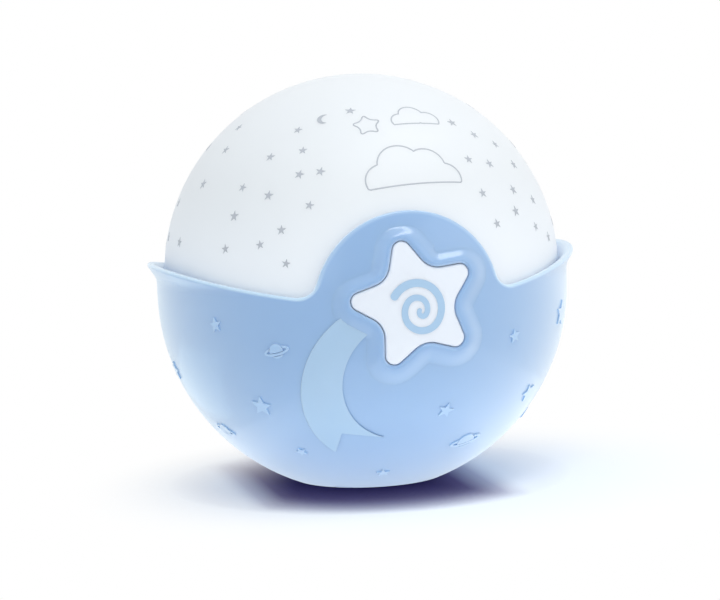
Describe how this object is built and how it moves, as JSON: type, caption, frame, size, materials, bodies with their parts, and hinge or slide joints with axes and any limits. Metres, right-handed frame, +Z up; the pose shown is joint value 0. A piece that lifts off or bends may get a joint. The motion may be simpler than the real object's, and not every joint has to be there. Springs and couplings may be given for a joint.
{
  "type": "night light projector",
  "caption": "Ball-shaped nursery night light: frosted dome in a flared bowl, star push button on a front tab, lamp deck, switch, battery box and hinged base door.",
  "frame": {"origin": "on the floor under the ball's upright axis, at the underside of the rubber pads", "axes": "+Z up, -Y out of the star button at the front, +X to the right seen from the front"},
  "size_m": [0.1472, 0.1424, 0.1397],
  "materials": {
    "shell_blue": "satin moulded",
    "dome_frost": "frosted translucent",
    "star_white": "satin moulded",
    "spiral_blue": "satin moulded",
    "tail_blue": "satin moulded",
    "inner_white": "moulded",
    "screw_steel": "zinc plated",
    "board_green": "lacquered",
    "lamp_clear": "clear epoxy",
    "chip_black": "moulded",
    "capacitor_sleeve": "shrunk sleeve",
    "cell_jacket": "printed jacket",
    "contact_nickel": "nickel plated",
    "pad_rubber": "matte",
    "wire_sleeve": "insulated"
  },
  "bodies": {
    "housing": {"lower_shell": "shell_blue", "dome_diffuser": "dome_frost", "comet_tail": "tail_blue", "deck_plate": "inner_white", "deck_screws": "screw_steel", "light_reflector": "inner_white", "led_board": "board_green", "projection_led": "lamp_clear", "colour_leds": "lamp_clear", "main_board": "board_green", "board_chip": "chip_black", "board_capacitors": "capacitor_sleeve", "board_sockets": "inner_white", "main_board_screws": "screw_steel", "battery_box": "inner_white", "battery_box_screws": "screw_steel", "battery_cells": "cell_jacket", "battery_springs": "contact_nickel", "battery_contacts": "contact_nickel", "foot_pads": "pad_rubber", "button_bracket": "inner_white", "bracket_screws": "screw_steel", "switch_board": "board_green", "switch_body": "chip_black", "button_spring": "contact_nickel", "battery_leads": "wire_sleeve", "led_leads": "wire_sleeve", "switch_leads": "wire_sleeve"},
    "star_button": {"star_cap": "star_white", "spiral_inlay": "spiral_blue"},
    "switch_plunger": {"switch_plunger": "chip_black"},
    "battery_door": {"battery_door": "shell_blue", "door_screw": "screw_steel"}
  },
  "joints": [
    {"name": "star_press", "type": "slide", "parent": "housing", "child": "star_button", "axis": [0, 1, 0], "range_m": [0, 0.0014], "stiffness_N_per_m": 900, "springref_m": -0.001, "deforming": ["button_spring"]},
    {"name": "plunger_press", "type": "slide", "parent": "housing", "child": "switch_plunger", "axis": [0, 1, 0], "range_m": [0, 0.0014]},
    {"name": "door_swing", "type": "hinge", "parent": "housing", "child": "battery_door", "pos_m": [0, -0.0235, 0.0008], "axis": [-1, 0, 0], "range_deg": [0, 75]}
  ],
  "couplings": [
    {"joint": "plunger_press", "follows": "star_press", "ratio": 1}
  ]
}
